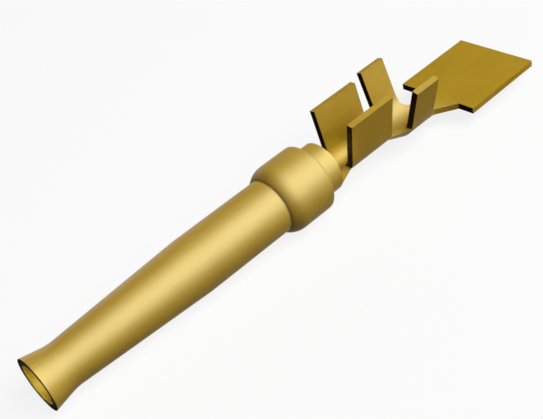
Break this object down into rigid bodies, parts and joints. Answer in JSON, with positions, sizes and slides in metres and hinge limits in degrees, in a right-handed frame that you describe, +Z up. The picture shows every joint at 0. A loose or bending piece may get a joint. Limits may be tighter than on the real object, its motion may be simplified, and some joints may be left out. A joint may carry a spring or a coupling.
{
  "type": "crimp socket contact for a d-sub connector",
  "caption": "Gold-plated crimp socket contact with a bell-mouthed tapered barrel, a locking collar, open crimp wings and a flat carrier tab.",
  "frame": {"origin": "centre of the footprint on the surface that the contact lies on", "axes": "+X from the bell mouth towards the carrier tab, along the contact but for the 1.9 degrees by which it rests nose down; +Y sideways; +Z up, the way the crimp wings open"},
  "size_m": [0.018, 0.0028, 0.0025],
  "materials": {
    "gold_plate": "gold-plated brass sheet, satin to bright"
  },
  "bodies": {
    "root": {"socket_contact": "gold_plate"}
  },
  "joints": []
}
